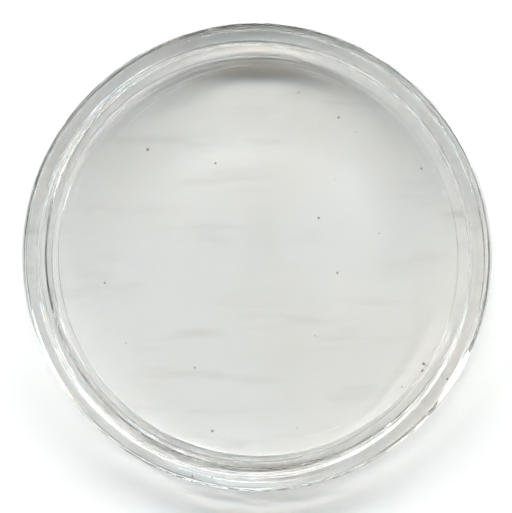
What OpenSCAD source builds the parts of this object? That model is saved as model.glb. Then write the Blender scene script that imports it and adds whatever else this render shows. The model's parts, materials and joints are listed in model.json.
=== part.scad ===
// Round snap-together coin capsule: a clear base with a coin well and a clear lid that fits over it.
// Both shells are solids of revolution about Z. Z = 0 is the plane that the foot ring stands on.
// Millimetres.

/* [Coin well] */
// Diameter of the coin that the well takes
coin_d = 27; // [20:0.1:40]
// Depth of the well, from its floor to the top of its wall
well_depth = 2.95; // [2:0.05:5]
// Thickness of the well's wall
well_wall = 0.75; // [0.6:0.05:1.2]

/* [Shells] */
// Thickness of the base's window
base_window = 1.1; // [0.8:0.05:2]
// Thickness of the lid's window
lid_window = 0.9; // [0.8:0.05:2]
// Thickness of the lid's skirt
skirt_wall = 0.88; // [0.7:0.02:1.5]
// How far the base's flange stands out past the skirt
flange_out = 0.38; // [0.2:0.02:0.8]
// Height of the well's wall above the flange, which the skirt laps over
lap = 1.15; // [1:0.05:1.4]

/* [Rims] */
// Height of the foot ring under the base's window
foot_h = 0.3; // [0.15:0.05:0.6]
// Radial width of the slope from the foot ring up to the window
foot_slope = 0.1; // [0.05:0.05:0.3]
// Height of the lid's rim above its window
rim_h = 0.3; // [0.15:0.05:0.6]
// Radial width of the slope from the rim down to the window
rim_slope = 0.15; // [0.05:0.05:0.3]

/* [Snap fit] */
// Radial gap between the well's wall and the skirt
skirt_gap = 0.09; // [0.06:0.01:0.1]
// Gap between the snap bead and the skirt that slides past it
bead_gap = 0.02; // [0.01:0.01:0.03]
// Length of the snap bead along the wall
bead_len = 0.4; // [0.3:0.05:0.5]
// Gap between the bead and the groove that it sits in
groove_gap = 0.05; // [0.03:0.01:0.08]
// Gap left between the closed shells where one rests on the other
seat_gap = 0.02; // [0.02:0.01:0.05]
// Height of the seam between the flange and the skirt, for a fingernail
seam_gap = 0.15; // [0.1:0.05:0.2]

/* [Outer edge] */
// Height of the upright band round the flange's edge
band_h = 0.9; // [0.5:0.05:1.2]
// How far the base's outer face leans in from the band to the bottom
base_lean = 0.15; // [0.05:0.05:0.4]
// Chamfer round the base's lower edge
base_chamfer = 0.2; // [0.1:0.05:0.4]
// How far the lid's outer face leans in from the seam to the top
lid_lean = 0.04; // [0.02:0.02:0.3]
// Chamfer on the edges of the rim, the skirt and the flange
edge_chamfer = 0.06; // [0.04:0.02:0.12]
// Lead-in chamfer at the top of the well's wall
lead_in = 0.08; // [0.04:0.02:0.2]

/* [Hidden] */
$fn = 180;

// slack keeps a cutting outline past the face that it cuts
slack = 1;

well_r = coin_d / 2;
wall_r = well_r + well_wall;
skirt_r = wall_r + skirt_gap;
lid_r = skirt_r + skirt_wall;
flange_r = lid_r + flange_out;

floor_z = foot_h + base_window;
wall_top_z = floor_z + well_depth;
flange_z = wall_top_z - lap;
band_z = flange_z - band_h;
skirt_z = flange_z + seam_gap;
lid_under_z = wall_top_z + seat_gap;
lid_window_z = lid_under_z + lid_window;
top_z = lid_window_z + rim_h;
bead_z = (skirt_z + wall_top_z) / 2;
bead_h = skirt_gap - bead_gap;

// A rectangle of the section, from one radius to another and from one height to another
module block(r_in, r_out, z_low, z_high) {
    translate([r_in, z_low]) square([r_out - r_in, z_high - z_low]);
}

// The corner that a 45 degree chamfer takes off. out is 1 where the section lies inside radius r and
// -1 where it lies outside it, and side is 1 for an upper edge and -1 for a lower one.
module bevel(r, z, c, out, side) {
    polygon([
        [r - out * c, z + side * slack],
        [r - out * c, z],
        [r, z - side * c],
        [r + out * slack, z - side * c],
        [r + out * slack, z + side * slack]
    ]);
}

// The wedge between an outer face that leans in and the upright face at radius r. The face leans in
// by lean between height z_wide and height z_narrow.
module leaning(r, z_wide, z_narrow, lean) {
    side = sign(z_narrow - z_wide);
    overrun = lean * slack / abs(z_narrow - z_wide);
    polygon([
        [r, z_wide],
        [r - lean - overrun, z_narrow + side * slack],
        [r + slack, z_narrow + side * slack],
        [r + slack, z_wide]
    ]);
}

// The slope of radial width w that opens a ring's inner face at radius r towards its end at z_end,
// from the window at z_window
module inner_slope(r, z_window, z_end, w) {
    polygon([
        [r, z_window],
        [r + w, z_end],
        [r, z_end + slack * sign(z_end - z_window)]
    ]);
}

// A bead of height h whose middle is at height z, standing on radius r. It takes up len along the
// wall, of which the middle third is flat, and its root runs a little way into the wall.
module bead(r, z, h, len) {
    root_r = r - slack / 10;
    polygon([
        [root_r, z - len / 2],
        [r, z - len / 2],
        [r + h, z - len / 6],
        [r + h, z + len / 6],
        [r, z + len / 2],
        [root_r, z + len / 2]
    ]);
}

module capsule_base() {
    color([0.84, 0.86, 0.84, 0.35]) rotate_extrude() difference() {
        union() {
            block(0, wall_r, foot_h, floor_z);
            block(well_r, wall_r, floor_z, wall_top_z);
            block(wall_r, flange_r, 0, flange_z);
            bead(wall_r, bead_z, bead_h, bead_len);
        }
        inner_slope(wall_r, foot_h, 0, foot_slope);
        leaning(flange_r, band_z, 0, base_lean);
        bevel(flange_r - base_lean, 0, base_chamfer, 1, -1);
        bevel(flange_r, flange_z, edge_chamfer, 1, 1);
        bevel(well_r, wall_top_z, lead_in, -1, 1);
        bevel(wall_r, wall_top_z, lead_in, 1, 1);
    }
}

module capsule_lid() {
    color([0.82, 0.84, 0.83, 0.35]) rotate_extrude() difference() {
        union() {
            block(0, lid_r, lid_under_z, lid_window_z);
            block(skirt_r, lid_r, skirt_z, top_z);
        }
        bead(skirt_r, bead_z, bead_h + groove_gap, bead_len + 2 * groove_gap);
        inner_slope(skirt_r, lid_window_z, top_z, rim_slope);
        leaning(lid_r, skirt_z, top_z, lid_lean);
        bevel(lid_r - lid_lean, top_z, edge_chamfer, 1, 1);
        bevel(lid_r, skirt_z, edge_chamfer, 1, -1);
        bevel(skirt_r, skirt_z, edge_chamfer, -1, -1);
    }
}

capsule_base();
capsule_lid();
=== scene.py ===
"""Looks of the clear coin capsule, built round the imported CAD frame. Lengths are in metres.

Both shells are turned about Z, so each visible piece is its CAD node's own section, with the small
edge rounds of a moulded part, turned in finer steps. Two gates are trimmed flat on the base's edge.
"""

import json
import math

import bmesh
import bpy
from mathutils import Matrix, Vector


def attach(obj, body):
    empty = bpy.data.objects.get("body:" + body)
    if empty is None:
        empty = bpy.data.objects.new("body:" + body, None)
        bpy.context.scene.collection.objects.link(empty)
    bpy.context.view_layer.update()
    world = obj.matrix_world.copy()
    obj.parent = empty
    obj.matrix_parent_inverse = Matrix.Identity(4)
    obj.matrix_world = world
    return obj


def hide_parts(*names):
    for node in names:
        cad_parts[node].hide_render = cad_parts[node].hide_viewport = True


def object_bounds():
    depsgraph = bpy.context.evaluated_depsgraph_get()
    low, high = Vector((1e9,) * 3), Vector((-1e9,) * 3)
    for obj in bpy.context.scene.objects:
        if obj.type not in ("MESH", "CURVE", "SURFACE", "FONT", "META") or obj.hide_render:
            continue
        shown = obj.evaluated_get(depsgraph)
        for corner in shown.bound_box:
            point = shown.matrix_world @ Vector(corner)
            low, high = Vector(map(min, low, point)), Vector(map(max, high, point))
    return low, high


MM = 0.001

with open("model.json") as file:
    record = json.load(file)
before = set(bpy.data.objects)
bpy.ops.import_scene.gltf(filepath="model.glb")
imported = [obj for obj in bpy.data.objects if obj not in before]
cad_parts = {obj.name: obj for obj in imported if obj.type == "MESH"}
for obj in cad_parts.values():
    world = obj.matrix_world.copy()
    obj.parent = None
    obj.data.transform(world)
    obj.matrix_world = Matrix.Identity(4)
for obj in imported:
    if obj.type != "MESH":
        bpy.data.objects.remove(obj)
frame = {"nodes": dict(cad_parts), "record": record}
cad_low, cad_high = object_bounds()

# Colour sockets of a Mix node, by number because its float and vector sockets have the same names
MIX_SHARE, MIX_FIRST, MIX_SECOND, MIX_RESULT = 0, 6, 7, 2

# Mesh
TURN_STEPS = 360
ARC_STEPS = 6
EDGE_ROUND = 0.06 * MM
SHARP_ANGLE = math.radians(25)
GATE_AZIMUTHS = (math.radians(59), math.radians(239))
GATE_DEPTH = 0.05 * MM

# Camera: a long lens, leaning a few degrees off the capsule's axis
FRAME_FILL = 470 / 513
LENS_MM = 600
SENSOR_MM = 36
LEAN = Vector((-0.07, -0.055, -1)).normalized()
AIM_ASIDE = Vector((-0.04, 0.057, 0)) * MM

# Light: two long strips side by side, a cool and a warm one, that are far enough off to light the
# floor evenly. Where the plastic bends their light, they leave bluish and yellowish fringes.
LAMP_DISTANCE = 3.0
LAMP_SIZE = (16.0, 0.35)
LAMP_POWER = 264
COOL_POLAR, COOL_COLOUR = math.radians(26), (0.66, 0.88, 1.0)
WARM_POLAR, WARM_COLOUR = math.radians(30.5), (1.0, 0.80, 0.66)
SKY_STRENGTH = 0.03
HORIZON_STRENGTH = 0.8
HORIZON_HEIGHT = 0.25
FLOOR_GAP = 0.03 * MM
FLOOR_SIZE = 24.0

# Clear plastic, whose dirt and waves are patterns of these sizes
STYRENE_IOR = 1.59
STYRENE_TINT = (0.956, 0.958, 0.953)
AGED_TINT = (0.956, 0.950, 0.934)
AGED_SPREAD = 9.0 * MM
POLISH = 0.004
SCUFF = 0.12
SCUFF_WIDTH = 1.2 * MM
SCUFF_STRETCH = 6
SMUDGE = 0.12
WAVE_LENGTH = 3.0 * MM
WAVE_HEIGHT = 0.6e-3 * MM
DUST_PITCH = 1.4 * MM
DUST_SIZE = 0.10 * MM
DUST_COLOUR = (0.20, 0.16, 0.11)


def section(node):
    """The (radius, height) corners of a turned CAD node's section, in order, from axis to axis."""
    mesh = frame["nodes"][node].data
    corner = [(round(math.hypot(v.co.x, v.co.y), 6), round(v.co.z, 6)) for v in mesh.vertices]
    beside = {c: set() for c in corner}
    for edge in mesh.edges:
        a, b = (corner[i] for i in edge.vertices)
        if a != b:
            beside[a].add(b)
            beside[b].add(a)
    path = [min((c for c in beside if len(beside[c]) == 1), key=lambda c: c[1])]
    while ahead := [c for c in beside[path[-1]] if c not in path]:
        path.append(ahead[0])
    return [(0.0, path[0][1]), *path, (0.0, path[-1][1])]


def rounded(path, radius):
    """The path with an arc of that radius, or a smaller one where a side is short, at each corner."""
    points = [path[0]]
    for before, corner, after in zip(path, path[1:], path[2:]):
        at = Vector(corner)
        back, ahead = Vector(before) - at, Vector(after) - at
        half = back.angle(ahead) / 2
        cut = min(radius / math.tan(half), 0.45 * back.length, 0.45 * ahead.length)
        start, end = at + back.normalized() * cut, at + ahead.normalized() * cut
        centre = at + (back.normalized() + ahead.normalized()).normalized() * cut / math.cos(half)
        sweep = (end - centre).angle_signed(start - centre)
        for step in range(ARC_STEPS + 1):
            spoke = (start - centre).copy()
            spoke.rotate(Matrix.Rotation(sweep * step / ARC_STEPS, 2))
            points.append(tuple(centre + spoke))
    return points + [path[-1]]


def turned(name, path):
    """A closed solid of revolution about Z, whose path starts and ends on the axis."""
    mesh = bmesh.new()
    rings = []
    for r, z in path:
        steps = TURN_STEPS if r > 0 else 1
        angles = [2 * math.pi * k / steps for k in range(steps)]
        rings.append([mesh.verts.new((r * math.cos(a), r * math.sin(a), z)) for a in angles])
    for low, high in zip(rings, rings[1:]):
        for k in range(TURN_STEPS):
            below = [low[k % len(low)], low[(k + 1) % len(low)]]
            above = [high[(k + 1) % len(high)], high[k % len(high)]]
            mesh.faces.new(dict.fromkeys(below + above))
    bmesh.ops.recalc_face_normals(mesh, faces=mesh.faces)
    data = bpy.data.meshes.new(name)
    mesh.to_mesh(data)
    mesh.free()
    data.shade_smooth()
    data.set_sharp_from_angle(angle=SHARP_ANGLE)
    piece = bpy.data.objects.new(name, data)
    bpy.context.scene.collection.objects.link(piece)
    return piece


def trim_gates(piece):
    """Flattens the spots on the widest edge where the moulding gates were cut off."""
    widest = max(v.co.xy.length for v in piece.data.vertices)
    for azimuth in GATE_AZIMUTHS:
        way = Vector((math.cos(azimuth), math.sin(azimuth), 0))
        for vertex in piece.data.vertices:
            excess = vertex.co.dot(way) - (widest - GATE_DEPTH)
            vertex.co -= way * max(excess, 0)


def noise(nodes, links, place, scale, detail):
    """A noise texture whose largest features are scale metres across."""
    texture = nodes.new("ShaderNodeTexNoise")
    texture.inputs["Scale"].default_value = 1 / scale
    texture.inputs["Detail"].default_value = detail
    links.new(place, texture.inputs["Vector"])
    return texture.outputs["Fac"]


def ramp(nodes, links, value, low, high, to_low, to_high):
    """The value mapped from low..high to to_low..to_high, held at the ends."""
    band = nodes.new("ShaderNodeMapRange")
    band.inputs["From Min"].default_value = low
    band.inputs["From Max"].default_value = high
    band.inputs["To Min"].default_value = to_low
    band.inputs["To Max"].default_value = to_high
    links.new(value, band.inputs["Value"])
    return band.outputs["Result"]


def blended(nodes, links, share, first, second):
    """The colour first, a tuple or a node's output, that turns into the colour second as share nears 1."""
    mix = nodes.new("ShaderNodeMix")
    mix.data_type = "RGBA"
    links.new(share, mix.inputs[MIX_SHARE])
    if isinstance(first, tuple):
        mix.inputs[MIX_FIRST].default_value = (*first, 1)
    else:
        links.new(first, mix.inputs[MIX_FIRST])
    mix.inputs[MIX_SECOND].default_value = (*second, 1)
    return mix.outputs[MIX_RESULT]


def stretched(nodes, links, place, ratio):
    """The place squeezed along X by ratio, which draws a texture out into streaks along X."""
    squeeze = nodes.new("ShaderNodeMapping")
    squeeze.inputs["Scale"].default_value = (1 / ratio, 1, 1)
    links.new(place, squeeze.inputs["Vector"])
    return squeeze.outputs["Vector"]


def dust(nodes, links, place):
    """1 on small specks of dust, of which only some cells of the pattern hold one, and 0 elsewhere."""
    cells = nodes.new("ShaderNodeTexVoronoi")
    cells.inputs["Scale"].default_value = 1 / DUST_PITCH
    links.new(place, cells.inputs["Vector"])
    lot = nodes.new("ShaderNodeSeparateColor")
    links.new(cells.outputs["Color"], lot.inputs["Color"])
    reach = ramp(nodes, links, lot.outputs["Red"], 0.7, 1.0, 0.0, DUST_SIZE / DUST_PITCH)
    speck = nodes.new("ShaderNodeMath")
    speck.operation = "LESS_THAN"
    links.new(cells.outputs["Distance"], speck.inputs[0])
    links.new(reach, speck.inputs[1])
    return speck.outputs["Value"]


def clear_styrene():
    """Clear moulded polystyrene: polished, with faint moulding waves, scuffs and specks of dust."""
    material = bpy.data.materials.new("clear_styrene")
    material.use_nodes = True
    nodes, links = material.node_tree.nodes, material.node_tree.links
    shader = nodes["Principled BSDF"]
    shader.inputs["Transmission Weight"].default_value = 1
    shader.inputs["IOR"].default_value = STYRENE_IOR
    place = nodes.new("ShaderNodeTexCoord").outputs["Object"]

    aged = ramp(nodes, links, noise(nodes, links, place, AGED_SPREAD, 2), 0.45, 0.7, 0, 1)
    scuffs = noise(nodes, links, stretched(nodes, links, place, SCUFF_STRETCH), SCUFF_WIDTH, 5)
    smudges = ramp(nodes, links, scuffs, 0.6, 0.75, 0, SMUDGE)
    dirt = nodes.new("ShaderNodeMath")
    dirt.operation = "MAXIMUM"
    links.new(dust(nodes, links, place), dirt.inputs[0])
    links.new(smudges, dirt.inputs[1])
    clean = blended(nodes, links, aged, STYRENE_TINT, AGED_TINT)
    links.new(blended(nodes, links, dirt.outputs["Value"], clean, DUST_COLOUR), shader.inputs["Base Color"])
    links.new(ramp(nodes, links, scuffs, 0.6, 0.75, POLISH, SCUFF), shader.inputs["Roughness"])

    bump = nodes.new("ShaderNodeBump")
    bump.inputs["Distance"].default_value = WAVE_HEIGHT
    links.new(noise(nodes, links, place, WAVE_LENGTH, 1), bump.inputs["Height"])
    links.new(bump.outputs["Normal"], shader.inputs["Normal"])
    return material


def shell(name, node, body, material):
    """The visible shell that stands for a CAD node."""
    piece = turned(name, rounded(section(node), EDGE_ROUND))
    piece.data.materials.append(material)
    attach(piece, body)
    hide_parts(node)
    return piece


def floor():
    """A plain pale floor just under the foot ring."""
    bpy.ops.mesh.primitive_plane_add(size=FLOOR_SIZE, location=(0, 0, cad_low.z - FLOOR_GAP))
    plane = bpy.context.object
    plane.name = "floor"
    material = bpy.data.materials.new("floor_paper")
    material.use_nodes = True
    shader = material.node_tree.nodes["Principled BSDF"]
    shader.inputs["Base Color"].default_value = (0.85, 0.85, 0.85, 1)
    shader.inputs["Roughness"].default_value = 1
    shader.inputs["Specular IOR Level"].default_value = 0
    plane.data.materials.append(material)


def lamp(name, polar, colour):
    """A strip lamp along X on the +Y side, polar radians off the vertical, that faces the capsule."""
    way = Vector((0, math.sin(polar), math.cos(polar)))
    light = bpy.data.lights.new(name, "AREA")
    light.shape = "RECTANGLE"
    light.size, light.size_y = LAMP_SIZE
    light.energy = LAMP_POWER
    light.color = colour
    holder = bpy.data.objects.new(name, light)
    bpy.context.scene.collection.objects.link(holder)
    holder.location = way * LAMP_DISTANCE
    holder.rotation_euler = (-way).to_track_quat("-Z", "Y").to_euler()


def sky():
    """Dim light from above that grows to a pale wall near the horizon."""
    world = bpy.data.worlds.new("sky")
    bpy.context.scene.world = world
    world.use_nodes = True
    nodes, links = world.node_tree.nodes, world.node_tree.links
    way = nodes.new("ShaderNodeSeparateXYZ")
    links.new(nodes.new("ShaderNodeTexCoord").outputs["Generated"], way.inputs["Vector"])
    strength = ramp(nodes, links, way.outputs["Z"], 0, HORIZON_HEIGHT, HORIZON_STRENGTH, SKY_STRENGTH)
    background = nodes["Background"]
    background.inputs["Color"].default_value = (1, 1, 1, 1)
    links.new(strength, background.inputs["Strength"])


def camera():
    """A camera above the capsule that looks along LEAN, with +Y up in the picture."""
    band = next(m for m in frame["record"]["mounts"] if m["name"] == "tray_edge")
    data = bpy.data.cameras.new("camera")
    data.lens = LENS_MM
    data.sensor_width = SENSOR_MM
    data.clip_end = 10
    right = Vector((1, 0, 0))
    right = (right - LEAN * right.dot(LEAN)).normalized()
    holder = bpy.data.objects.new("camera", data)
    bpy.context.scene.collection.objects.link(holder)
    across = (cad_high.x - cad_low.x) / FRAME_FILL
    aim = Vector((0, 0, band["pos_m"][2])) + AIM_ASIDE
    place = Matrix((right, right.cross(LEAN), -LEAN)).transposed().to_4x4()
    place.translation = aim - LEAN * across * LENS_MM / SENSOR_MM
    holder.matrix_world = place
    bpy.context.scene.camera = holder


def light_paths():
    """Lets light through both clear shells to the floor and back."""
    scene = bpy.context.scene
    scene.view_settings.view_transform = "Standard"
    scene.cycles.caustics_reflective = True
    scene.cycles.caustics_refractive = True
    scene.cycles.blur_glossy = 0
    scene.cycles.max_bounces = 24
    scene.cycles.transmission_bounces = 24
    scene.cycles.glossy_bounces = 16
    scene.cycles.diffuse_bounces = 4
    scene.cycles.use_guiding = True


camera()
light_paths()
sky()
lamp("cool_lamp", COOL_POLAR, COOL_COLOUR)
lamp("warm_lamp", WARM_POLAR, WARM_COLOUR)
floor()
styrene = clear_styrene()
trim_gates(shell("base_shell", "capsule_base", "base", styrene))
shell("lid_shell", "capsule_lid", "lid", styrene)
